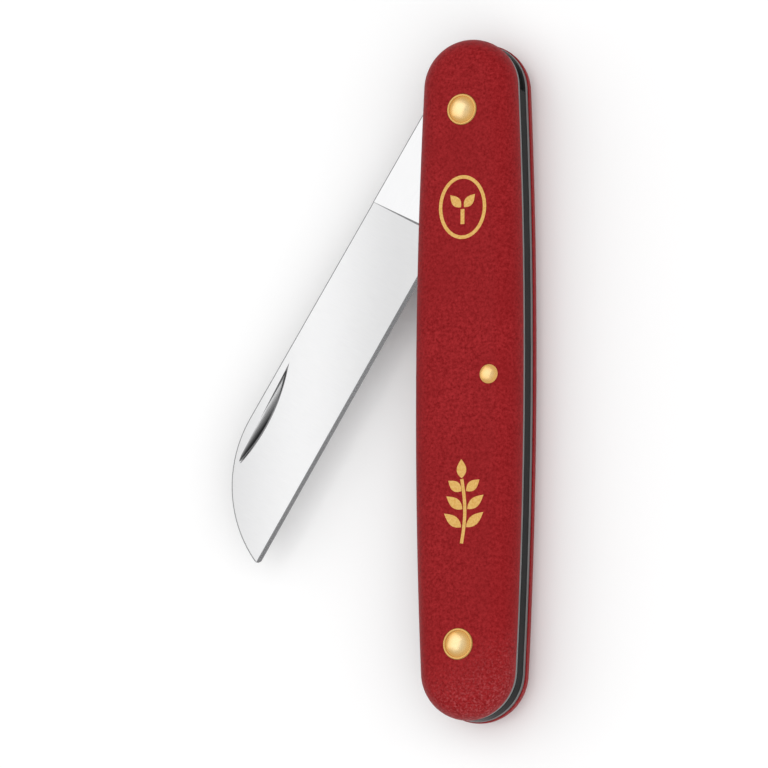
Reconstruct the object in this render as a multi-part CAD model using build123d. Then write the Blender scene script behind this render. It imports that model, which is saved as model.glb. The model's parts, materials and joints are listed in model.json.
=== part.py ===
from build123d import *
import math
import os

# Grafting knife: one sheepfoot blade folding into a two-scale handle, shown part-way open.
# Millimetres. The knife lies flat: +Y runs towards the pivot end, +X towards the back spring,
# -X is the side that the blade folds into, and +Z goes through the thickness.
# The origin is on the rear scale's flat outer face, at the middle of the handle.

# Handle, seen in plan: two nearly straight sides joined by round ends.
HANDLE_LENGTH = 100.0
HANDLE_WIDTH = 16.5
SIDE_RADIUS = 900.0

# Layers through the thickness.
SCALE_THICKNESS = 3.9
LINER_THICKNESS = 0.9
SPRING_THICKNESS = 2.3
BLADE_THICKNESS = 2.1
LINER_INSET = 0.15
SCALE_ROUNDING = 3.6

# Rivets, placed in plan.
PIVOT = (-0.1, 39.15)
END_RIVET = (-0.3, -39.2)
SPRING_PIN = (4.3, 0.0)
RIVET_RADIUS = 1.25
RIVET_HEAD_RADIUS = 1.9
RIVET_HEAD_SEAT = 1.0
RIVET_DOME = 0.55
ROSETTE_RADIUS = 2.3
ROSETTE_RIM = 0.12
ROSETTE_RIM_ROUNDING = 0.1
SPRING_PIN_RADIUS = 0.9
SPRING_PIN_HEAD_RADIUS = 1.4
SPRING_PIN_HEAD_FOOT = 1.0
SPRING_PIN_HEAD_SEAT = 0.6
SPRING_PIN_DOME = 0.42

# Blade, in its own axes: x from the pivot to the tip along the cutting edge's direction,
# and y from the spine towards the cutting edge.
BLADE_ANGLE = 31.6              # from the handle's length, as the knife is shown
CLOSED_ANGLE = 4.5              # the same angle when the blade is shut
EDGE_OFFSET = 4.96
SPINE_HEEL_OFFSET = 7.25
SPINE_BELLY_OFFSET = 7.57
SPINE_SWEEP_START = 55.36
SPINE_SWEEP_RADIUS = 19.0
TIP_ROUNDING = 0.7
PIVOT_CLEARANCE = 0.04
TANG_RADIUS = 4.75
TANG_FLAT = 4.45
SHOULDER = 3.6
SHOULDER_ROUNDING = 0.5
RICASSO_OFFSET = 4.05
RICASSO_LENGTH = 17.9
PLUNGE_SLOPE = 60.0             # of the step where the grinding stops, from the blade's flat
PLUNGE_SKEW = 5.2               # of the same step in plan, towards the tip at the spine
CHOIL_RADIUS = 0.9
SPINE_HALF_GROUND = 0.97
BEVEL_WIDTH = 0.6
BEVEL_HALF_THICKNESS = 0.22
EDGE_HALF_THICKNESS = 0.02

# Nail nick, cut in the front of the blade: straight towards the spine, curved towards the edge.
NICK_CENTRE = (54.9, -6.05)     # the middle of the straight side
NICK_LENGTH = 16.7
NICK_WIDTH = 1.3
NICK_TILT = 1.0
NICK_FLOOR_RADIUS = 3.2
NICK_FLOOR_START = 7.0          # the floor's slope at the straight side, in degrees

# Back spring.
SPRING_INNER_FACE = 4.8
SPRING_FREE_END = 42.6
SPRING_CHAMFER = 0.25
SPRING_PIN_BOSS_RADIUS = 1.75
SPRING_TAIL_BOSS_RADIUS = 4.3
SPRING_TAIL_SHELF = 2.4         # below the end rivet, where the tail reaches the blade's side
SPRING_INNER_FILLET = 2.0
SPRING_END_ROUNDING = 0.4

REACH = 120.0                   # longer than anything here, for cutting bodies

# Heights of the layers' faces, upwards from the rear scale's outer face.
REAR_LINER_BOTTOM = SCALE_THICKNESS
SPRING_BOTTOM = REAR_LINER_BOTTOM + LINER_THICKNESS
SPRING_TOP = SPRING_BOTTOM + SPRING_THICKNESS
FRONT_SCALE_BOTTOM = SPRING_TOP + LINER_THICKNESS
HANDLE_TOP = FRONT_SCALE_BOTTOM + SCALE_THICKNESS
MIDDLE = HANDLE_TOP / 2


def handle_outline(inset):
    """The handle's outline in plan, as a face, drawn in by the inset."""
    half_width = HANDLE_WIDTH / 2 - inset
    half_length = HANDLE_LENGTH / 2 - inset
    side_radius = SIDE_RADIUS - inset
    side_centre = side_radius - half_width
    end_radius = (half_width * (2 * side_radius - half_width) - half_length**2) / (
        2 * (side_radius - half_length)
    )
    end_centre = half_length - end_radius
    # A side and an end meet where the line through their two centres leaves both circles.
    reach = side_radius / (side_radius - end_radius)
    corner_x = side_centre * (reach - 1)
    corner_y = end_centre * reach
    return make_face(
        [
            ThreePointArc((corner_x, -corner_y), (half_width, 0), (corner_x, corner_y)),
            ThreePointArc((corner_x, corner_y), (0, half_length), (-corner_x, corner_y)),
            ThreePointArc((-corner_x, corner_y), (-half_width, 0), (-corner_x, -corner_y)),
            ThreePointArc((-corner_x, -corner_y), (0, -half_length), (corner_x, -corner_y)),
        ]
    )


def front_to_rear(shape):
    """The same piece on the other side of the knife's middle plane."""
    return mirror(shape, Plane.XY.offset(MIDDLE))


def turned(profile_points, place):
    """A round solid from half its outline, as radius and height, standing at a place."""
    profile = make_face(Polyline(*profile_points, close=True))
    return Pos(*place, 0) * revolve(Plane.XZ * profile, Axis.Z)


def dome(radius, height, place, base):
    """The cap of a sphere, standing on a flat base."""
    sphere_radius = (radius**2 + height**2) / (2 * height)
    ball = Pos(*place, base + height - sphere_radius) * Sphere(sphere_radius)
    keep = Pos(*place, base) * Cylinder(
        radius + 1, height + 1, align=(Align.CENTER, Align.CENTER, Align.MIN)
    )
    return ball & keep


def rivet(place, shank, head, foot, seat, dome_height):
    """A rivet through the whole handle, with a domed head set in each outer face.

    The head's radius narrows from head, at the outer face, to foot, at the seat's depth."""
    top = HANDLE_TOP
    body = turned(
        [
            (0, 0),
            (head, 0),
            (foot, seat),
            (shank, seat),
            (shank, top - seat),
            (foot, top - seat),
            (head, top),
            (0, top),
        ],
        place,
    )
    cap = dome(head, dome_height, place, top)
    return (body + cap + front_to_rear(cap)).solid()


def large_rivet(place):
    """A brass rivet whose heads fill the cups of their rosettes."""
    head = RIVET_HEAD_RADIUS
    return rivet(place, RIVET_RADIUS, head, head, RIVET_HEAD_SEAT, RIVET_DOME)


def spring_pin():
    """The small rivet that holds the spring's middle, with countersunk domed heads."""
    return rivet(
        SPRING_PIN,
        SPRING_PIN_RADIUS,
        SPRING_PIN_HEAD_RADIUS,
        SPRING_PIN_HEAD_FOOT,
        SPRING_PIN_HEAD_SEAT,
        SPRING_PIN_DOME,
    )


def front_rosette(place):
    """A brass collar through the front scale, with a cup for the rivet's head."""
    cup_floor = HANDLE_TOP - RIVET_HEAD_SEAT
    rim = HANDLE_TOP + ROSETTE_RIM
    return turned(
        [
            (RIVET_RADIUS, FRONT_SCALE_BOTTOM),
            (ROSETTE_RADIUS, FRONT_SCALE_BOTTOM),
            (ROSETTE_RADIUS, rim - ROSETTE_RIM_ROUNDING),
            (ROSETTE_RADIUS - ROSETTE_RIM_ROUNDING, rim),
            (RIVET_HEAD_RADIUS, rim),
            (RIVET_HEAD_RADIUS, cup_floor),
            (RIVET_RADIUS, cup_floor),
        ],
        place,
    ).solid()


def front_scale():
    """A nylon scale with its outer edge rounded all the way round."""
    body = Pos(0, 0, FRONT_SCALE_BOTTOM) * extrude(handle_outline(0), SCALE_THICKNESS)
    body = fillet(body.faces().sort_by(Axis.Z)[-1].edges(), SCALE_ROUNDING)
    for place in (PIVOT, END_RIVET):
        body -= Pos(*place, MIDDLE) * Cylinder(ROSETTE_RADIUS, REACH)
    return (body - spring_pin()).solid()


def liner(bottom):
    """A thin metal plate with the handle's outline and a hole for each rivet."""
    plate = Pos(0, 0, bottom) * extrude(handle_outline(LINER_INSET), LINER_THICKNESS)
    for place, radius in (
        (PIVOT, RIVET_RADIUS),
        (END_RIVET, RIVET_RADIUS),
        (SPRING_PIN, SPRING_PIN_RADIUS),
    ):
        plate -= Pos(*place, MIDDLE) * Cylinder(radius, REACH)
    return plate.solid()


def rectangle(low_x, low_y, high_x, high_y):
    """A rectangle in plan between two corners."""
    middle = ((low_x + high_x) / 2, (low_y + high_y) / 2)
    return Pos(*middle) * Rectangle(high_x - low_x, high_y - low_y)


def vertices_near(sketch, points, within):
    """The sketch's vertices that lie close to any of the points."""
    near = []
    for vertex in sketch.vertices():
        if any(math.dist((vertex.X, vertex.Y), point) < within for point in points):
            near.append(vertex)
    return near


def back_spring():
    """The spring along the back, held at its middle pin and at the end rivet.

    Its arm stands just clear of the tang, as it does while the tang's corners pass."""
    tail_x, tail_y = END_RIVET
    tail_top = tail_y + SPRING_TAIL_BOSS_RADIUS
    shelf = tail_y - SPRING_TAIL_SHELF
    arm = rectangle(SPRING_INNER_FACE, -REACH, REACH, SPRING_FREE_END)
    tail_block = rectangle(tail_x, -REACH, REACH, tail_top)
    tail_shelf = rectangle(-REACH, -REACH, REACH, shelf)
    plan = arm + tail_block + tail_shelf
    plan += Pos(*END_RIVET) * Circle(SPRING_TAIL_BOSS_RADIUS)
    plan += Pos(*SPRING_PIN) * Circle(SPRING_PIN_BOSS_RADIUS)
    plan = plan & handle_outline(LINER_INSET)

    boss_reach = math.sqrt(
        SPRING_PIN_BOSS_RADIUS**2 - (SPRING_INNER_FACE - SPRING_PIN[0]) ** 2
    )
    shelf_x = tail_x - math.sqrt(SPRING_TAIL_BOSS_RADIUS**2 - SPRING_TAIL_SHELF**2)
    inner_corners = [
        (SPRING_INNER_FACE, SPRING_PIN[1] + boss_reach),
        (SPRING_INNER_FACE, SPRING_PIN[1] - boss_reach),
        (SPRING_INNER_FACE, tail_top),
        (shelf_x, shelf),
    ]
    plan = fillet(vertices_near(plan, inner_corners, 0.1), SPRING_INNER_FILLET)
    free_end = [v for v in plan.vertices() if abs(v.Y - SPRING_FREE_END) < 0.01]
    plan = fillet(free_end, SPRING_END_ROUNDING)

    spring = extrude(plan, SPRING_THICKNESS)
    back_edges = []
    for face in (spring.faces().sort_by(Axis.Z)[0], spring.faces().sort_by(Axis.Z)[-1]):
        for edge in face.edges():
            if edge.length > SPRING_FREE_END and edge.center().X > SPRING_INNER_FACE + 1:
                back_edges.append(edge)
    spring = chamfer(back_edges, SPRING_CHAMFER)
    spring = Pos(0, 0, SPRING_BOTTOM) * spring
    spring -= Pos(*END_RIVET, MIDDLE) * Cylinder(RIVET_RADIUS, REACH)
    spring -= Pos(*SPRING_PIN, MIDDLE) * Cylinder(SPRING_PIN_RADIUS, REACH)
    return spring.solid()


def tang_plan():
    """The round tang, with the two flats that lie along the spring when shut and open."""
    tang = Circle(TANG_RADIUS)
    half_plane = rectangle(-REACH, -REACH, REACH, TANG_FLAT)
    shut_side = Rot(0, 0, CLOSED_ANGLE) * half_plane
    open_side = Rot(0, 0, 180) * half_plane
    return tang & shut_side & open_side


def blade_plan():
    """The blade's outline in its own axes."""
    rise = math.atan2(SPINE_BELLY_OFFSET - SPINE_HEEL_OFFSET, SPINE_SWEEP_START - SHOULDER)
    across = (EDGE_OFFSET + SPINE_BELLY_OFFSET) / SPINE_SWEEP_RADIUS
    turn = math.acos(math.cos(rise) - across) + rise
    sweep = JernArc(
        start=(SPINE_SWEEP_START, -SPINE_BELLY_OFFSET),
        tangent=(math.cos(rise), -math.sin(rise)),
        radius=SPINE_SWEEP_RADIUS,
        arc_size=math.degrees(turn),
    )
    tip = (sweep @ 1).X, EDGE_OFFSET
    outline = [
        Line((SHOULDER, -SPINE_HEEL_OFFSET), (SPINE_SWEEP_START, -SPINE_BELLY_OFFSET)),
        sweep,
        Polyline(
            tip,
            (RICASSO_LENGTH, EDGE_OFFSET),
            (RICASSO_LENGTH, RICASSO_OFFSET),
            (0, RICASSO_OFFSET),
            (0, 0),
            (SHOULDER, 0),
            (SHOULDER, -SPINE_HEEL_OFFSET),
        ),
    ]
    plan = make_face(outline) + tang_plan()
    plan -= Pos(RICASSO_LENGTH + CHOIL_RADIUS, EDGE_OFFSET) * Circle(CHOIL_RADIUS)
    plan = fillet(vertices_near(plan, [tip], 0.1), TIP_ROUNDING)
    notch = (SHOULDER, -math.sqrt(TANG_RADIUS**2 - SHOULDER**2))
    shoulder = (SHOULDER, -SPINE_HEEL_OFFSET)
    return fillet(vertices_near(plan, [notch, shoulder], 0.1), SHOULDER_ROUNDING)


def ground_height(y):
    """Half the blade's thickness on its ground flats, at a distance across the blade."""
    bevel_start = EDGE_OFFSET - BEVEL_WIDTH
    share = (y + SPINE_BELLY_OFFSET) / (bevel_start + SPINE_BELLY_OFFSET)
    return SPINE_HALF_GROUND + share * (BEVEL_HALF_THICKNESS - SPINE_HALF_GROUND)


def bevel_height(y):
    """Half the blade's thickness on the narrow bevel along the cutting edge."""
    share = (EDGE_OFFSET - y) / BEVEL_WIDTH
    return EDGE_HALF_THICKNESS + share * (BEVEL_HALF_THICKNESS - EDGE_HALF_THICKNESS)


def grinding_cutter():
    """What the grinding takes off the front: a flat from the spine, then the edge's bevel."""
    outside_spine = -SPINE_BELLY_OFFSET - 1
    bevel_start = EDGE_OFFSET - BEVEL_WIDTH
    outside_edge = EDGE_OFFSET + EDGE_HALF_THICKNESS
    section = Polyline(
        (outside_spine, ground_height(outside_spine)),
        (bevel_start, BEVEL_HALF_THICKNESS),
        (outside_edge, bevel_height(outside_edge)),
        (outside_edge, BLADE_THICKNESS),
        (outside_spine, BLADE_THICKNESS),
        close=True,
    )
    cutter = extrude(Plane.YZ * make_face(section), REACH)
    slope = math.radians(PLUNGE_SLOPE)
    skew = math.radians(PLUNGE_SKEW)
    step = Plane(
        origin=(RICASSO_LENGTH, 0, BLADE_THICKNESS / 2),
        z_dir=(
            math.sin(slope) * math.cos(skew),
            math.sin(slope) * math.sin(skew),
            math.cos(slope),
        ),
    )
    return split(cutter, step, keep=Keep.TOP)


def nail_nick():
    """The nick's cutter, whose floor curves down from the straight side to the curved one."""
    plan_radius = NICK_LENGTH**2 / (8 * NICK_WIDTH) + NICK_WIDTH / 2
    start = math.radians(NICK_FLOOR_START)
    disc = Pos(0, NICK_WIDTH - plan_radius, 0) * Cylinder(plan_radius, BLADE_THICKNESS)
    curved_side = Box(REACH, REACH, REACH, align=(Align.CENTER, Align.MIN, Align.CENTER))
    below_floor = Pos(
        0, -NICK_FLOOR_RADIUS * math.sin(start), -NICK_FLOOR_RADIUS * math.cos(start)
    ) * Rot(0, 90, 0) * Cylinder(NICK_FLOOR_RADIUS, REACH)
    cutter = (disc & curved_side) - below_floor
    return Pos(*NICK_CENTRE, ground_height(NICK_CENTRE[1])) * Rot(0, 0, NICK_TILT) * cutter


def blade():
    """The blade, turned about the pivot to the angle at which the knife is shown."""
    body = extrude(blade_plan(), BLADE_THICKNESS / 2, both=True)
    cutter = grinding_cutter()
    body -= cutter
    body -= mirror(cutter, Plane.XY)
    body -= nail_nick()
    body -= Cylinder(RIVET_RADIUS + PIVOT_CLEARANCE, REACH)
    return (Pos(*PIVOT, MIDDLE) * Rot(0, 0, -90 - BLADE_ANGLE) * body).solid()


front = front_scale()
front_pivot_rosette = front_rosette(PIVOT)
front_end_rosette = front_rosette(END_RIVET)

pieces = {
    "front_scale": front,
    "rear_scale": front_to_rear(front).solid(),
    "front_liner": liner(SPRING_TOP),
    "rear_liner": liner(REAR_LINER_BOTTOM),
    "back_spring": back_spring(),
    "blade": blade(),
    "pivot_rivet": large_rivet(PIVOT),
    "pivot_rosette_front": front_pivot_rosette,
    "pivot_rosette_rear": front_to_rear(front_pivot_rosette).solid(),
    "end_rivet": large_rivet(END_RIVET),
    "end_rosette_front": front_end_rosette,
    "end_rosette_rear": front_to_rear(front_end_rosette).solid(),
    "spring_pin": spring_pin(),
}

os.makedirs("parts", exist_ok=True)
for name, solid in pieces.items():
    export_step(solid, f"parts/{name}.step")
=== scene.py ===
import json
import math

import bmesh
import bpy
from mathutils import Matrix, Vector, geometry, noise


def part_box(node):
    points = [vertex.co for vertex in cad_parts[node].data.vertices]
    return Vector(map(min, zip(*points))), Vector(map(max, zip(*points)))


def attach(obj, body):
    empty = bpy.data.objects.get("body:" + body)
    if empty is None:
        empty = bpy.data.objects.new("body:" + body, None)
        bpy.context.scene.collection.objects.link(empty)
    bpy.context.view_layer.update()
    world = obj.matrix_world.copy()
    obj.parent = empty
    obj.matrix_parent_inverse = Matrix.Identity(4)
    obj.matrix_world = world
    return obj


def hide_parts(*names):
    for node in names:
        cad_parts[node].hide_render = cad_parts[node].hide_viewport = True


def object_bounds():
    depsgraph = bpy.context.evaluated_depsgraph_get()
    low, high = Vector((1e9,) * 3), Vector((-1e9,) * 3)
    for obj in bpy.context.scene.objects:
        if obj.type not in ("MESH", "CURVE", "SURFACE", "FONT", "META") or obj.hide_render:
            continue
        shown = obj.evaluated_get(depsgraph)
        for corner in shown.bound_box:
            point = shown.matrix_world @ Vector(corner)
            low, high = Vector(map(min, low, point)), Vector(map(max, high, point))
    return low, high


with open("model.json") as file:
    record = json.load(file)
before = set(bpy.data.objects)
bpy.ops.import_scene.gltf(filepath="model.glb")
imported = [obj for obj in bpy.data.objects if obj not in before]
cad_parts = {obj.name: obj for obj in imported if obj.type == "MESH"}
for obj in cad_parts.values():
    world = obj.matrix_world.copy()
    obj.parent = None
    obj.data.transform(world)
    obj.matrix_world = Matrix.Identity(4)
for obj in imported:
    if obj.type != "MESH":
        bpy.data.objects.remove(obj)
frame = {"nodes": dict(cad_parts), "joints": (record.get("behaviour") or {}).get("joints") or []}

# Looks of a grafting knife, built round its CAD frame. The frame is in metres: +X is the back
# spring's side, +Y the pivot's end and +Z the front. MM is one millimetre in metres.
MM = 0.001

cad_low, cad_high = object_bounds()

# ---------------------------------------------------------------- sizes taken from the frame

LINER_INSET = 0.15 * MM             # how far the metal plates lie inside the scales' outline
SIDE_RADIUS = 900 * MM              # of the handle's long sides, in plan
SCALE_ROUNDING = 3.6 * MM           # of the scales' outer edge

front_low, front_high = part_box("front_scale")
rear_low, rear_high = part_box("rear_scale")
liner_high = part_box("front_liner")[1]
HALF_LENGTH = liner_high.y + LINER_INSET
HALF_WIDTH = liner_high.x + LINER_INSET
SCALE_THICKNESS = front_high.z - front_low.z
MIDDLE = (front_high.z + rear_low.z) / 2
RIVET_TOP = cad_high.z


def node_centre(node):
    """The middle of a CAD node's box, in plan."""
    low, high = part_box(node)
    return (low.x + high.x) / 2, (low.y + high.y) / 2


def node_radius(node):
    """Half the width of a round CAD node."""
    low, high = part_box(node)
    return (high.x - low.x) / 2


pivot_joint = frame["joints"][0]
PIVOT = Vector(pivot_joint["pos_m"])
CLOSED_TILT = math.radians(4.5)     # of the shut blade, from the handle's length
BLADE_ANGLE = CLOSED_TILT - math.radians(pivot_joint["range_deg"][0])

# The blade's own directions at rest: towards the tip, and from the spine to the edge.
ALONG = Vector((-math.sin(BLADE_ANGLE), -math.cos(BLADE_ANGLE), 0))
ACROSS = Vector((math.cos(BLADE_ANGLE), -math.sin(BLADE_ANGLE), 0))
BLADE_TURN = -math.pi / 2 - BLADE_ANGLE     # turns the X axis to ALONG


def on_blade(along, across):
    """A point on the blade at rest, by its distances from the pivot."""
    return PIVOT + ALONG * along + ACROSS * across


# ---------------------------------------------------------------- material building blocks


class Shader:
    """A material with a Principled shader, and short calls to wire nodes into it."""

    def __init__(self, name, **sockets):
        self.material = bpy.data.materials.new(name)
        self.material.use_nodes = True
        self.tree = self.material.node_tree
        self.principled = self.tree.nodes["Principled BSDF"]
        for socket, value in sockets.items():
            self.principled.inputs[socket.replace("_", " ")].default_value = value
        self.coordinates = self.tree.nodes.new("ShaderNodeTexCoord").outputs["Object"]

    def node(self, kind, **values):
        """A new node with some of its properties set."""
        made = self.tree.nodes.new(kind)
        for name, value in values.items():
            setattr(made, name, value)
        return made

    def link(self, output, socket):
        self.tree.links.new(output, socket)

    def turned(self, angle, sizes, centre=(0, 0, 0)):
        """Object coordinates from a centre, along axes turned about Z, in units of the sizes."""
        mapping = self.node("ShaderNodeMapping", vector_type="TEXTURE")
        mapping.inputs["Location"].default_value = centre
        mapping.inputs["Rotation"].default_value = (0, 0, angle)
        mapping.inputs["Scale"].default_value = sizes
        self.link(self.coordinates, mapping.inputs["Vector"])
        return mapping.outputs["Vector"]

    def gradient(self, kind, vector):
        """LINEAR rises from 0 to 1 along the vector's first axis, SPHERICAL falls from its centre."""
        made = self.node("ShaderNodeTexGradient", gradient_type=kind)
        self.link(vector, made.inputs["Vector"])
        return made.outputs["Fac"]

    def noise(self, size, detail=2.0, roughness=0.5, vector=None):
        """Noise whose features are about size metres across."""
        made = self.node("ShaderNodeTexNoise")
        made.inputs["Scale"].default_value = 1 / size
        made.inputs["Detail"].default_value = detail
        made.inputs["Roughness"].default_value = roughness
        self.link(vector or self.coordinates, made.inputs["Vector"])
        return made.outputs["Fac"]

    def spread(self, value, low, high, start=0.35, end=0.65, shape="LINEAR"):
        """A value's range from start to end, spread over low to high."""
        made = self.node("ShaderNodeMapRange", interpolation_type=shape)
        made.inputs["From Min"].default_value = start
        made.inputs["From Max"].default_value = end
        made.inputs["To Min"].default_value = low
        made.inputs["To Max"].default_value = high
        self.link(value, made.inputs["Value"])
        return made.outputs["Result"]

    def mixed(self, factor, first, second):
        """One colour or the other by a factor; each is a colour or an output."""
        made = self.node("ShaderNodeMix", data_type="RGBA")
        self.link(factor, made.inputs["Factor"])
        for socket, colour in (("A", first), ("B", second)):
            target = [s for s in made.inputs if s.name == socket and s.type == "RGBA"][0]
            if isinstance(colour, tuple):
                target.default_value = (*colour, 1)
            else:
                self.link(colour, target)
        return [s for s in made.outputs if s.type == "RGBA"][0]

    def bump(self, height, depth, below=None):
        """A bump of a depth in metres, on top of another bump's normal."""
        made = self.node("ShaderNodeBump")
        made.inputs["Strength"].default_value = 1.0
        made.inputs["Distance"].default_value = depth
        self.link(height, made.inputs["Height"])
        if below:
            self.link(below, made.inputs["Normal"])
        return made.outputs["Normal"]

    def colour(self, output):
        self.link(output, self.principled.inputs["Base Color"])

    def roughness(self, output):
        self.link(output, self.principled.inputs["Roughness"])

    def normal(self, output):
        self.link(output, self.principled.inputs["Normal"])


# Where pale specks are painted on the nylon as a highlight: towards the lower end and the spring's
# side, over a length.
PAINTED_SPECKLE_START = (3.5 * MM, -38 * MM, 0)
PAINTED_SPECKLE_TURN = math.radians(-62)
PAINTED_SPECKLE_LENGTH = 9 * MM


def red_nylon():
    """Moulded nylon: a deep red with a fine matt grain, paler where the grain stands up, with pale
    specks painted towards the lower end as a highlight.
    """
    shader = Shader("red_nylon", IOR=1.5, Specular_IOR_Level=0.06)
    grain = shader.noise(0.42 * MM, detail=4.0, roughness=0.8)
    fine_grain = shader.noise(0.16 * MM)
    cloud = shader.noise(9 * MM)
    speck = shader.noise(0.34 * MM, detail=3.0, roughness=0.7)
    deep = (0.172, 0.0034, 0.0048)
    middling = (0.215, 0.0085, 0.0102)
    pale = (0.342, 0.0200, 0.0232)
    highlight_speck_red = (0.42, 0.080, 0.085)
    lifted = shader.mixed(shader.spread(grain, 0.0, 1.0), deep, pale)
    body = shader.mixed(shader.spread(cloud, 0.0, 0.35), lifted, middling)
    # Pale specks near the lower end: a painted highlight.
    painted_highlight = shader.mixed(shader.spread(speck, 0.0, 1.0, 0.48, 0.72), body, highlight_speck_red)
    painted_speckle_area = shader.turned(PAINTED_SPECKLE_TURN, (PAINTED_SPECKLE_LENGTH, MM, MM), PAINTED_SPECKLE_START)
    shader.colour(shader.mixed(shader.gradient("LINEAR", painted_speckle_area), body, painted_highlight))
    shader.roughness(shader.spread(grain, 0.40, 0.52))
    coarse = shader.bump(grain, 0.05 * MM)
    shader.normal(shader.bump(fine_grain, 0.008 * MM, below=coarse))
    return shader.material


def gold_print():
    """Gold foil pressed on the nylon: a satin gold, a little uneven like the grain under it."""
    shader = Shader("gold_print", Metallic=0.55)
    grain = shader.noise(0.35 * MM, detail=3.0)
    deep = (0.62, 0.34, 0.075)
    pale = (0.78, 0.50, 0.16)
    shader.colour(shader.mixed(shader.spread(grain, 0.0, 1.0), deep, pale))
    shader.roughness(shader.spread(grain, 0.38, 0.55))
    shader.normal(shader.bump(grain, 0.008 * MM))
    return shader.material


FAR = 100       # metres: a gradient this long is even along its axis


def brass(name, pale, deep):
    """Polished brass with a painted highlight that makes it paler on top, and faint marks of the tool
    that closed the rivet.
    """
    shader = Shader(name, Metallic=0.66)
    marks = shader.noise(1.1 * MM, detail=0.0)
    scratches = shader.noise(0.6 * MM, detail=1.0)
    tarnish = shader.noise(2.2 * MM)
    # Painted highlight: each dome is paler at its top and deeper down its flanks.
    depth = shader.turned(0, (FAR, FAR, RIVET_TOP - MIDDLE), (0, 0, MIDDLE))
    painted_highlight_fade = shader.spread(shader.gradient("SPHERICAL", depth), 0.0, 1.0, 0.01, 0.06)
    painted_highlight = shader.mixed(painted_highlight_fade, pale, deep)
    shader.colour(shader.mixed(shader.spread(tarnish, 0.0, 0.3), painted_highlight, deep))
    shader.roughness(shader.spread(scratches, 0.22, 0.30))
    dents = shader.bump(marks, 0.03 * MM)
    shader.normal(shader.bump(scratches, 0.002 * MM, below=dents))
    return shader.material


def brushed(name, colour, shade, roughness, angle, sizes, depth, **sockets):
    """Metal with a grain: fine lines along the turned axis whose size is the largest."""
    shader = Shader(name, Metallic=1.0, **sockets)
    lines = shader.noise(1.0, detail=3.0, vector=shader.turned(angle, sizes))
    cloud = shader.noise(7 * MM)
    base = shader.mixed(shader.spread(lines, 0.0, 1.0), colour, shade)
    shader.colour(shader.mixed(shader.spread(cloud, 0.0, 0.5), base, colour))
    shader.roughness(shader.spread(lines, *roughness))
    shader.normal(shader.bump(lines, depth))
    return shader.material


# A painted sheen: a lighter band over the middle of the blade's flats, slanted across the blade.
SHEEN_BAND_CENTRE = on_blade(50.8 * MM, 0)
SHEEN_BAND_TURN = BLADE_TURN - math.radians(64.5)
SHEEN_BAND_REACH = 12.9 * MM


def satin_ground_steel():
    """The blade's flats: fine lines across the blade, and a painted sheen, a broad lighter band over
    its middle.
    """
    shader = Shader("satin_steel", Metallic=1.0)
    grain = shader.turned(BLADE_TURN, (0.10 * MM, 2.2 * MM, 2.2 * MM))
    lines = shader.noise(1.0, detail=3.0, vector=grain)
    shade = shader.spread(lines, 0.0, 1.0)
    sheen_band = shader.turned(SHEEN_BAND_TURN, (SHEEN_BAND_REACH, 1, 1), SHEEN_BAND_CENTRE)
    lit = shader.spread(shader.gradient("SPHERICAL", sheen_band), 0.0, 1.0, 0.0, 1.0, "SMOOTHSTEP")
    # Painted sheen: the flats are lighter along the band.
    dull = shader.mixed(shade, (0.708, 0.708, 0.712), (0.693, 0.693, 0.697))
    bright = shader.mixed(shade, (0.857, 0.857, 0.861), (0.843, 0.843, 0.847))
    shader.colour(shader.mixed(lit, dull, bright))
    shader.roughness(shader.spread(lines, 0.28, 0.32))
    shader.normal(shader.bump(lines, 0.0002 * MM))
    return shader.material


# Painted shade: the nail nick's colour darkens from its straight side to its curved one, and towards
# the tip.
NICK_STRAIGHT_SIDE = on_blade(54.9 * MM, -6.15 * MM)
NICK_SHADE_TURN = -BLADE_ANGLE - math.radians(4.5)
NICK_SHADE_WIDTH = 1.1 * MM


def nick_steel():
    """The nick's floor: lines along the blade, and painted shade that darkens it towards its curved
    side.
    """
    shader = Shader("nick_steel", Metallic=1.0)
    grain = shader.turned(BLADE_TURN, (2 * MM, 0.10 * MM, 2 * MM))
    lines = shader.noise(1.0, detail=3.0, vector=grain)
    painted_shade_fade = shader.turned(NICK_SHADE_TURN, (NICK_SHADE_WIDTH, MM, MM), NICK_STRAIGHT_SIDE)
    shade = shader.spread(lines, 0.0, 1.0)
    nick_lighter_side = shader.mixed(shade, (0.86, 0.86, 0.865), (0.72, 0.72, 0.725))
    # Painted shade: the near-black colour on the nick's curved side.
    deep = (0.05, 0.05, 0.052)
    shader.colour(shader.mixed(shader.gradient("LINEAR", painted_shade_fade), nick_lighter_side, deep))
    shader.roughness(shader.spread(lines, 0.24, 0.34))
    shader.normal(shader.bump(lines, 0.0005 * MM))
    return shader.material


# ---------------------------------------------------------------- mesh building blocks


def finish_piece(name, bm, materials, body, slot, *nodes):
    """Turns a bmesh into a piece that rides on a body and stands for CAD nodes."""
    mesh = bpy.data.meshes.new(name)
    bm.normal_update()
    bm.to_mesh(mesh)
    bm.free()
    for material in materials:
        mesh.materials.append(material)
    for polygon in mesh.polygons:
        polygon.use_smooth = True
    piece = bpy.data.objects.new(name, mesh)
    bpy.context.scene.collection.objects.link(piece)
    if nodes:
        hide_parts(*nodes)
    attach(piece, body)
    return piece


FLAT_WEIGHT = 100       # of a large face's normal over a small one's, the modifier's highest


def even_normals(piece):
    """Keeps large flats flat in the shading, next to their narrow rounded edges."""
    modifier = piece.modifiers.new("even_normals", "WEIGHTED_NORMAL")
    modifier.keep_sharp = True
    modifier.weight = FLAT_WEIGHT


def smooth_below(bm, degrees):
    """Shades a bmesh smoothly across its edges that bend less than an angle."""
    for edge in bm.edges:
        edge.smooth = edge.calc_face_angle(0) < math.radians(degrees)


def add_loop(bm, points):
    """New vertices at points."""
    return [bm.verts.new(point) for point in points]


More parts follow.
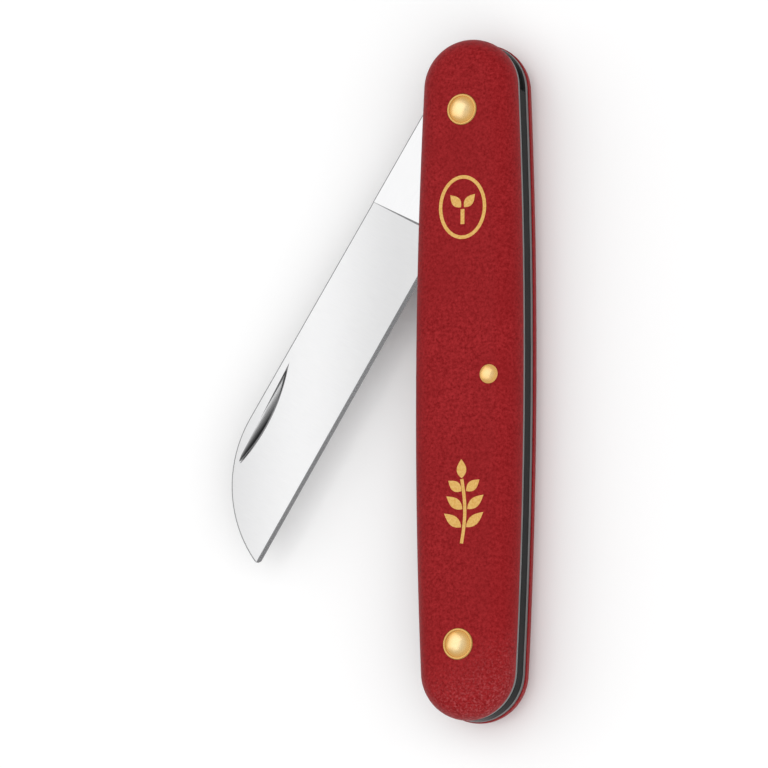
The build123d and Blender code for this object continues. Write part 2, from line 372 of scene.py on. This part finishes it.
def bridge(bm, first, second):
    """Quads between two closed loops of the same count."""
    count = len(first)
    for i in range(count):
        j = (i + 1) % count
        bm.faces.new((first[i], first[j], second[j], second[i]))


def cap(bm, outer, holes):
    """Fills a flat outline round its holes."""
    loops = [outer, *holes]
    flat = [v for loop in loops for v in loop]
    for triangle in geometry.tessellate_polygon([[v.co for v in loop] for loop in loops]):
        bm.faces.new([flat[i] for i in triangle])


def circle(centre, radius, height, count):
    """Points round a circle at one height."""
    return [
        Vector((
            centre[0] + radius * math.cos(2 * math.pi * i / count),
            centre[1] + radius * math.sin(2 * math.pi * i / count),
            height,
        ))
        for i in range(count)
    ]


SIDE_STEPS = 40
END_STEPS = 56


def handle_loop(inset, height):
    """The handle's outline in plan, drawn in by an inset, as points at one height."""
    half_width = HALF_WIDTH - inset
    half_length = HALF_LENGTH - inset
    side_radius = SIDE_RADIUS - inset
    side_centre = side_radius - half_width
    end_radius = (half_width * (2 * side_radius - half_width) - half_length**2) / (
        2 * (side_radius - half_length)
    )
    end_centre = half_length - end_radius
    lean = math.atan2(end_centre, side_centre)      # of the line through both arcs' centres
    points = []
    for turn in (0, math.pi):
        half = []
        for i in range(SIDE_STEPS):
            angle = lean * (2 * i / SIDE_STEPS - 1)
            half.append((side_radius * math.cos(angle) - side_centre, side_radius * math.sin(angle)))
        for i in range(END_STEPS):
            angle = lean + (math.pi - 2 * lean) * i / END_STEPS
            half.append((end_radius * math.cos(angle), end_centre + end_radius * math.sin(angle)))
        for x, y in half:
            points.append((
                x * math.cos(turn) - y * math.sin(turn),
                x * math.sin(turn) + y * math.cos(turn),
            ))
    return [Vector((x, y, height)) for x, y in points]


# ---------------------------------------------------------------- the scales

ROUNDING_STEPS = 18
HOLE_STEPS = 64
HOLE_CHAMFER = 0.06 * MM
INNER_CHAMFER = 0.07 * MM


def scale(name, node, material):
    """A nylon scale: rounded outer edge, flat inside, and a chamfered hole for each rivet."""
    outward = 1 if node == "front_scale" else -1
    inner_face = front_low.z if outward > 0 else rear_high.z
    bm = bmesh.new()

    def at(depth):
        return inner_face + outward * depth

    wall = SCALE_THICKNESS - SCALE_ROUNDING
    loops = [(INNER_CHAMFER, 0.0), (0.0, INNER_CHAMFER)]
    for i in range(ROUNDING_STEPS + 1):
        angle = math.pi / 2 * i / ROUNDING_STEPS
        inset = SCALE_ROUNDING * (1 - math.cos(angle))
        loops.append((inset, wall + SCALE_ROUNDING * math.sin(angle)))
    rings = [add_loop(bm, handle_loop(inset, at(depth))) for inset, depth in loops]
    for lower, upper in zip(rings, rings[1:]):
        bridge(bm, lower, upper)

    inner_holes = []
    outer_holes = []
    for round_node in ("pivot_rosette_front", "end_rosette_front", "spring_pin"):
        centre = node_centre(round_node)
        radius = node_radius(round_node)
        hole = [
            add_loop(bm, circle(centre, radius + wider, at(depth), HOLE_STEPS))
            for wider, depth in (
                (0, 0),
                (0, SCALE_THICKNESS - HOLE_CHAMFER),
                (HOLE_CHAMFER, SCALE_THICKNESS),
            )
        ]
        for lower, upper in zip(hole, hole[1:]):
            bridge(bm, lower, upper)
        inner_holes.append(hole[0])
        outer_holes.append(hole[-1])
    cap(bm, rings[0], inner_holes)
    cap(bm, rings[-1], outer_holes)
    bmesh.ops.recalc_face_normals(bm, faces=bm.faces)
    smooth_below(bm, degrees=35)
    piece = finish_piece(name, bm, [material], "handle", "red_nylon", node)
    even_normals(piece)
    return piece


# ---------------------------------------------------------------- rivets and rosettes

LATHE_STEPS = 72


def lathe(bm, centre, profile, flip):
    """A closed round solid from a profile of radius and height, upside down if flip."""
    rings = []
    for radius, height in profile:
        z = 2 * MIDDLE - height if flip else height
        if radius == 0:
            rings.append([bm.verts.new((*centre, z))])
        else:
            rings.append(add_loop(bm, circle(centre, radius, z, LATHE_STEPS)))
    for first, second in zip(rings, rings[1:]):
        if len(first) == 1:
            first, second = second, first
        if len(second) == 1:
            for i in range(LATHE_STEPS):
                bm.faces.new((first[i], first[(i + 1) % LATHE_STEPS], second[0]))
        else:
            bridge(bm, first, second)


DOME_STEPS = 12
RIM_STEPS = 8
HEAD_CHAMFER = 0.01 * MM            # at the foot of a rivet's dome


def dome_profile(radius, height, base):
    """Half a domed cap's outline, from its rim to its top."""
    sphere = (radius**2 + height**2) / (2 * height)
    widest = math.asin(radius / sphere)
    points = []
    for i in range(DOME_STEPS + 1):
        angle = widest * (1 - i / DOME_STEPS)
        points.append((sphere * math.sin(angle), base + height - sphere * (1 - math.cos(angle))))
    points[-1] = (0, points[-1][1])
    return points


HAMMER_DEPTH = 0.016 * MM
HAMMER_SIZE = 1.1 * MM
HAMMER_FADE = 0.2 * MM              # the height above the face at which the marks are full


def rivet(name, node, shank_radius, head_radius, seat, material):
    """A rivet through the handle, with a slightly hammered dome at each end."""
    face = front_high.z
    dome_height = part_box(node)[1].z - face - 1.5 * HAMMER_DEPTH
    upper = [(head_radius, face - seat), (head_radius, face)]
    upper += dome_profile(head_radius - HEAD_CHAMFER, dome_height, face + HEAD_CHAMFER)[1:]
    profile = [(r, 2 * MIDDLE - z) for r, z in reversed(upper)]
    profile += [(shank_radius, 2 * MIDDLE - face + seat), (shank_radius, face - seat)]
    profile += upper
    bm = bmesh.new()
    lathe(bm, node_centre(node), profile, flip=False)
    for vert in bm.verts:
        out = abs(vert.co.z - MIDDLE) - (face - MIDDLE)
        if out > 0:
            dent = max(-1.0, min(1.0, noise.noise(vert.co / HAMMER_SIZE)))
            move = HAMMER_DEPTH * dent * min(1, out / HAMMER_FADE)
            vert.co.z += math.copysign(move, vert.co.z - MIDDLE)
    bmesh.ops.recalc_face_normals(bm, faces=bm.faces)
    smooth_below(bm, degrees=40)
    return finish_piece(name, bm, [material], "handle", "brass", node)


def rosette(name, node, cup_radius, bore_radius, cup_depth, material):
    """A collar in the scale: a rounded rim round the cup that the rivet's head fills."""
    low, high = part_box(node)
    flip = low.z < MIDDLE
    base = 2 * MIDDLE - high.z if flip else low.z
    rim = 2 * MIDDLE - low.z if flip else high.z
    radius = node_radius(node)
    face = front_high.z
    rim_width = radius - cup_radius
    cup_floor = face - cup_depth
    profile = [(bore_radius, base), (radius, base), (radius, face)]
    for i in range(RIM_STEPS + 1):
        angle = math.pi * i / RIM_STEPS
        profile.append((
            radius - rim_width / 2 * (1 - math.cos(angle)),
            face + (rim - face) * math.sin(angle),
        ))
    profile += [(cup_radius, cup_floor), (bore_radius, cup_floor), (bore_radius, base)]
    bm = bmesh.new()
    lathe(bm, node_centre(node), profile, flip)
    bmesh.ops.remove_doubles(bm, verts=bm.verts, dist=0.001 * MM)
    bmesh.ops.recalc_face_normals(bm, faces=bm.faces)
    smooth_below(bm, degrees=50)
    return finish_piece(name, bm, [material], "handle", "brass", node)


# ---------------------------------------------------------------- plates, spring and blade


def from_node(node):
    """A clean bmesh of a CAD node's own surface, with its flats whole again."""
    bm = bmesh.new()
    bm.from_mesh(frame["nodes"][node].data)
    bmesh.ops.remove_doubles(bm, verts=bm.verts, dist=0.0005 * MM)
    bmesh.ops.dissolve_limit(
        bm,
        angle_limit=math.radians(0.05),
        verts=bm.verts,
        edges=bm.edges,
        use_dissolve_boundaries=False,
    )
    bm.normal_update()
    return bm


def round_edges(bm, width, sharper_than, leave=lambda edge: False, finish=-1):
    """Rounds the sharp edges of a bmesh, except those to be left, in a finish of its own."""
    edges = []
    for edge in bm.edges:
        if edge.calc_face_angle(0) > math.radians(sharper_than) and not leave(edge):
            edges.append(edge)
    bmesh.ops.bevel(
        bm,
        geom=edges,
        offset=width,
        offset_type="OFFSET",
        segments=2,
        profile=0.6,
        affect="EDGES",
        clamp_overlap=False,
        miter_outer="SHARP",
        material=finish,
    )
    bm.normal_update()


SHARP = 40                          # degrees, above which a cut edge is rounded
PLATE_EDGE = 0.06 * MM
SPINE_EDGE = 0.20 * MM


def metal_plate(name, node, slot, material):
    """A flat metal piece with its cut edges slightly rounded."""
    bm = from_node(node)
    round_edges(bm, PLATE_EDGE, sharper_than=SHARP)
    smooth_below(bm, degrees=50)
    piece = finish_piece(name, bm, [material], "handle", slot, node)
    even_normals(piece)
    return piece


# The least share of a face's normal that lies along Z, by finish: the tang is flat, the ground
# flats lean a little, and the edge's bevel and the nick's floor lean more.
TANG_LEAN = 0.99999
GROUND_LEAN = 0.994
BEVEL_LEAN = 0.93
NICK_LEAN = 0.7

# Lines that part the blade's finishes and edges, by their distances from the pivot: three
# across the blade, towards its edge, and one along it.
NICK_LINE = -2 * MM                 # the nick is on the spine's side of it
SPINE_LINE = -4 * MM
EDGE_LINE = 4.3 * MM
SWEEP_START = 56 * MM
RIM_BEND = math.radians(70)         # the least bend of a rim that is rounded


def blade(materials):
    """The blade, its faces sorted by finish: polished tang, satin flats, honed bevel and nick."""
    bm = from_node("blade")
    satin, polished, honed, dull, nick = range(5)
    for face in bm.faces:
        lean = abs(face.normal.z)
        across = (face.calc_center_median() - PIVOT).dot(ACROSS)
        if lean > TANG_LEAN:
            face.material_index = polished
        elif lean > GROUND_LEAN:
            face.material_index = satin
        elif lean > NICK_LEAN and across < NICK_LINE and face.normal.z > 0:
            face.material_index = nick
        elif lean > BEVEL_LEAN and face.normal.dot(ACROSS) > 0:
            face.material_index = honed
        else:
            face.material_index = satin

    def near_edge_or_bore(edge):
        """True away from the spine and the sweep to the tip, whose rims alone are rounded."""
        from_pivot = (edge.verts[0].co + edge.verts[1].co) / 2 - PIVOT
        along = from_pivot.dot(ALONG)
        across = from_pivot.dot(ACROSS)
        rim = edge.calc_face_angle(0) > RIM_BEND
        on_spine = rim and across < SPINE_LINE
        on_sweep = rim and along > SWEEP_START
        return across > EDGE_LINE or not (on_spine or on_sweep)

    round_edges(bm, SPINE_EDGE, sharper_than=SHARP, leave=near_edge_or_bore, finish=dull)
    smooth_below(bm, degrees=30)
    piece = finish_piece("blade_steel", bm, materials, "blade", "blade_steel", "blade")
    even_normals(piece)
    return piece


# ---------------------------------------------------------------- the printed motifs

PRINT_THICKNESS = 0.012 * MM


def printed(name, outlines, material):
    """Flat foil shapes on the front scale; each outline is a loop, or a loop and its hole."""
    bm = bmesh.new()
    top = front_high.z + PRINT_THICKNESS
    base = front_high.z - PRINT_THICKNESS
    for loops in outlines:
        rings = []
        for loop in loops:
            upper = add_loop(bm, [Vector((x, y, top)) for x, y in loop])
            lower = add_loop(bm, [Vector((x, y, base)) for x, y in loop])
            bridge(bm, lower, upper)
            rings.append((lower, upper))
        cap(bm, rings[0][1], [r[1] for r in rings[1:]])
        cap(bm, rings[0][0], [r[0] for r in rings[1:]])
    bmesh.ops.recalc_face_normals(bm, faces=bm.faces)
    smooth_below(bm, degrees=40)
    return finish_piece(name, bm, [material], "handle", "brass")


OVAL_STEPS = 72
LEAF_STEPS = 12
STEM_STEPS = 16


def oval(centre, half_width, half_height):
    """Points round an oval."""
    return [
        (
            centre[0] + half_width * math.cos(2 * math.pi * i / OVAL_STEPS),
            centre[1] + half_height * math.sin(2 * math.pi * i / OVAL_STEPS),
        )
        for i in range(OVAL_STEPS)
    ]


def leaf(base, degrees, length, width, clear):
    """A pointed leaf along a direction, that starts clear of its base."""
    angle = math.radians(degrees)
    points = []
    for side in (1, -1):
        for i in range(LEAF_STEPS):
            along = i / LEAF_STEPS if side > 0 else 1 - i / LEAF_STEPS
            half = side * width / 2 * math.sin(math.pi * along**0.85)
            points.append((along * length, half))
    return [
        (
            base[0] + (clear + x) * math.cos(angle) - y * math.sin(angle),
            base[1] + (clear + x) * math.sin(angle) + y * math.cos(angle),
        )
        for x, y in points
    ]


def stroke(points, width):
    """A line of a width through points, as one outline."""
    left = []
    right = []
    for i, (x, y) in enumerate(points):
        before = points[max(i - 1, 0)]
        after = points[min(i + 1, len(points) - 1)]
        run = Vector((after[0] - before[0], after[1] - before[1])).normalized()
        left.append((x - run.y * width / 2, y + run.x * width / 2))
        right.append((x + run.y * width / 2, y - run.x * width / 2))
    return left + right[::-1]


BADGE_CENTRE = (0.1 * MM, 24.7 * MM)
BADGE_HALF_WIDTH = 3.7 * MM
BADGE_HALF_HEIGHT = 4.7 * MM
BADGE_LINE = 0.52 * MM


def sprout_badge(material):
    """A plain oval ring round a two-leaved sprout."""
    x, y = BADGE_CENTRE
    inner_width = BADGE_HALF_WIDTH - BADGE_LINE
    inner_height = BADGE_HALF_HEIGHT - BADGE_LINE
    ring = [
        oval(BADGE_CENTRE, BADGE_HALF_WIDTH, BADGE_HALF_HEIGHT),
        oval(BADGE_CENTRE, inner_width, inner_height)[::-1],
    ]
    foot = (x, y - 2.5 * MM)
    fork = (x, y - 0.3 * MM)
    shapes = [ring, [stroke([foot, fork], 0.6 * MM)]]
    for degrees in (48, 132):
        shapes.append([leaf(fork, degrees, length=2.5 * MM, width=1.35 * MM, clear=0.38 * MM)])
    return printed("sprout_badge", shapes, material)


TWIG_FOOT = (0.2 * MM, -24.6 * MM)
TWIG_HEIGHT = 9.4 * MM
TWIG_BEND = 0.5 * MM


def on_stem(share):
    """A point on the twig's bent stem, by its share of the height."""
    bend = TWIG_BEND * math.sin(math.pi * share)
    return (TWIG_FOOT[0] + bend, TWIG_FOOT[1] + TWIG_HEIGHT * share)


def twig_print(material):
    """A twig with pairs of leaves, along the handle."""
    stem = [on_stem(i / STEM_STEPS) for i in range(STEM_STEPS + 1)]
    shapes = [[stroke(stem, 0.5 * MM)]]
    for share, length in ((0.22, 3.4 * MM), (0.5, 3.2 * MM), (0.78, 2.6 * MM)):
        for degrees in (38, 142):
            shapes.append([leaf(on_stem(share), degrees, length, width=1.45 * MM, clear=0.48 * MM)])
    shapes.append([leaf(on_stem(1.0), 92, length=2.8 * MM, width=1.5 * MM, clear=0.12 * MM)])
    return printed("twig_print", shapes, material)


# ---------------------------------------------------------------- camera, light and floor

VIEW_TURN = math.radians(22.5)      # round the handle's length, towards the spring's side
VIEW_DROP = math.radians(8.0)       # towards the handle's lower end
VIEW_ROLL = math.radians(0.37)
CAMERA_DISTANCE = 1.25
SENSOR = 36.0
VIEW_WIDTH = 111.92 * MM            # what the picture's width takes in at the handle
AIM = (-13.45 * MM, -0.50 * MM)     # the picture's middle, from the handle's, across and up


def make_camera():
    """The camera, looking at the knife from its front, its spring's side and its lower end."""
    right = Vector((math.cos(VIEW_TURN), 0, -math.sin(VIEW_TURN)))
    back = Vector((
        math.sin(VIEW_TURN) * math.cos(VIEW_DROP),
        -math.sin(VIEW_DROP),
        math.cos(VIEW_TURN) * math.cos(VIEW_DROP),
    ))
    up = back.cross(right)
    roll = Matrix.Rotation(VIEW_ROLL, 3, back)
    right = roll @ right
    up = roll @ up
    target = Vector((0, 0, MIDDLE)) + right * AIM[0] + up * AIM[1]
    data = bpy.data.cameras.new("camera")
    data.sensor_width = SENSOR
    data.lens = SENSOR * CAMERA_DISTANCE / VIEW_WIDTH
    data.clip_start = 0.05
    data.clip_end = 20
    camera = bpy.data.objects.new("camera", data)
    place = Matrix((right, up, back)).transposed().to_4x4()
    place.translation = target + back * CAMERA_DISTANCE
    camera.matrix_world = place
    bpy.context.scene.collection.objects.link(camera)
    bpy.context.scene.camera = camera


def area_light(name, direction, distance, size, power, in_reflections):
    """A square light that faces the knife from a direction."""
    data = bpy.data.lights.new(name, "AREA")
    data.shape = "SQUARE"
    data.size = size
    data.energy = power
    light = bpy.data.objects.new(name, data)
    away = Vector(direction).normalized()
    light.location = Vector((0, 0, MIDDLE)) + away * distance
    light.rotation_mode = "QUATERNION"
    light.rotation_quaternion = away.to_track_quat("Z", "Y")
    light.visible_glossy = in_reflections
    bpy.context.scene.collection.objects.link(light)


# The softbox's mirror image in the blade shows with the world's glow added behind it, so the
# two glows together set how bright the blade is.
SOFTBOX_GLOW = 0.76
SOFTBOX_SIZE = 1.22
SOFTBOX_DISTANCE = 1.0
SOFTBOX_DIRECTION = (-0.56, 0.22, 0.78)
FILL_POWER = 44.6
FILL_SIZE = 3.2
FILL_DISTANCE = 2.0
FILL_DIRECTION = (0.45, -0.18, 1.0)
WORLD_GLOW = 0.42


def make_light():
    """One softbox that shows in the metal, a wide fill that doesn't, and an even white world."""
    softbox_power = SOFTBOX_GLOW * math.pi * SOFTBOX_SIZE**2
    area_light(
        "key_softbox", SOFTBOX_DIRECTION, SOFTBOX_DISTANCE, SOFTBOX_SIZE, softbox_power, True
    )
    area_light("overhead_fill", FILL_DIRECTION, FILL_DISTANCE, FILL_SIZE, FILL_POWER, False)
    world = bpy.data.worlds.new("studio")
    world.use_nodes = True
    background = world.node_tree.nodes["Background"]
    background.inputs["Color"].default_value = (1, 1, 1, 1)
    background.inputs["Strength"].default_value = WORLD_GLOW
    bpy.context.scene.world = world


FLOOR_REACH = 3.0


def make_floor():
    """A wide pale floor under the rivets' rear domes."""
    shader = Shader("floor_paint", Roughness=0.9)
    tone = shader.spread(shader.noise(0.4), 0.0, 1.0)
    shader.colour(shader.mixed(tone, (0.88, 0.88, 0.88), (0.90, 0.90, 0.90)))
    bm = bmesh.new()
    corners = [
        (x * FLOOR_REACH, y * FLOOR_REACH, cad_low.z)
        for x, y in ((-1, -1), (1, -1), (1, 1), (-1, 1))
    ]
    bm.faces.new(add_loop(bm, corners))
    mesh = bpy.data.meshes.new("floor")
    bm.to_mesh(mesh)
    bm.free()
    mesh.materials.append(shader.material)
    floor = bpy.data.objects.new("floor", mesh)
    bpy.context.scene.collection.objects.link(floor)


# ---------------------------------------------------------------- the knife

make_camera()
make_light()
make_floor()
bpy.context.scene.view_settings.view_transform = "Standard"

nylon = red_nylon()
foil = gold_print()
# The first colour of each brass is the painted highlight at the top of a dome.
rivet_brass = brass("rivet_brass", (1.0, 0.78, 0.42), (0.96, 0.55, 0.17))
rosette_brass = brass("rosette_brass", (0.80, 0.48, 0.17), (0.70, 0.40, 0.12))
# The liners' dark grey is darker than the bare metal: brushed metal with painted shade for the dark
# reflections in their edges.
liner_metal = brushed(
    "liner_metal",
    colour=(0.23, 0.235, 0.235),
    shade=(0.16, 0.165, 0.165),
    roughness=(0.34, 0.46),
    angle=0,
    sizes=(0.08 * MM, 4 * MM, 0.08 * MM),
    depth=0.002 * MM,
)
# The spring's near-black colour is painted shade, for the dark surroundings its polished back
# reflects.
spring_steel = brushed(
    "spring_steel",
    colour=(0.040, 0.042, 0.042),
    shade=(0.026, 0.028, 0.028),
    roughness=(0.22, 0.32),
    angle=0,
    sizes=(0.06 * MM, 5 * MM, 0.06 * MM),
    depth=0.0015 * MM,
    Specular_Tint=(0.55, 0.55, 0.55, 1),
)
polished_steel = brushed(
    "polished_steel",
    colour=(0.81, 0.81, 0.815),
    shade=(0.79, 0.79, 0.795),
    roughness=(0.13, 0.19),
    angle=BLADE_TURN,
    sizes=(2 * MM, 0.06 * MM, 2 * MM),
    depth=0.0004 * MM,
)
honed_steel = brushed(
    "honed_steel",
    colour=(0.55, 0.55, 0.56),
    shade=(0.40, 0.40, 0.41),
    roughness=(0.20, 0.32),
    angle=BLADE_TURN,
    sizes=(0.5 * MM, 0.04 * MM, 0.5 * MM),
    depth=0.001 * MM,
)
dull_steel = brushed(
    "dull_steel",
    colour=(0.34, 0.34, 0.345),
    shade=(0.26, 0.26, 0.265),
    roughness=(0.40, 0.50),
    angle=BLADE_TURN,
    sizes=(0.5 * MM, 0.06 * MM, 0.5 * MM),
    depth=0.0005 * MM,
)

scale("front_scale_nylon", "front_scale", nylon)
scale("rear_scale_nylon", "rear_scale", nylon)
metal_plate("front_liner_plate", "front_liner", "liner_metal", liner_metal)
metal_plate("rear_liner_plate", "rear_liner", "liner_metal", liner_metal)
metal_plate("back_spring_steel", "back_spring", "spring_steel", spring_steel)
blade([satin_ground_steel(), polished_steel, honed_steel, dull_steel, nick_steel()])

# What is out of sight of the rivets, as in the CAD: their shanks, and how deep their heads sit.
RIVET_SHANK = 1.25 * MM
RIVET_SEAT = 1.0 * MM
PIN_SHANK = 0.9 * MM
PIN_SEAT = 0.6 * MM

for end in ("pivot", "end"):
    head = node_radius(f"{end}_rivet")
    rivet(f"{end}_rivet_brass", f"{end}_rivet", RIVET_SHANK, head, RIVET_SEAT, rivet_brass)
    for side in ("front", "rear"):
        node = f"{end}_rosette_{side}"
        rosette(f"{node}_brass", node, head, RIVET_SHANK, RIVET_SEAT, rosette_brass)
pin_head = node_radius("spring_pin")
rivet("spring_pin_brass", "spring_pin", PIN_SHANK, pin_head, PIN_SEAT, rivet_brass)

sprout_badge(foil)
twig_print(foil)
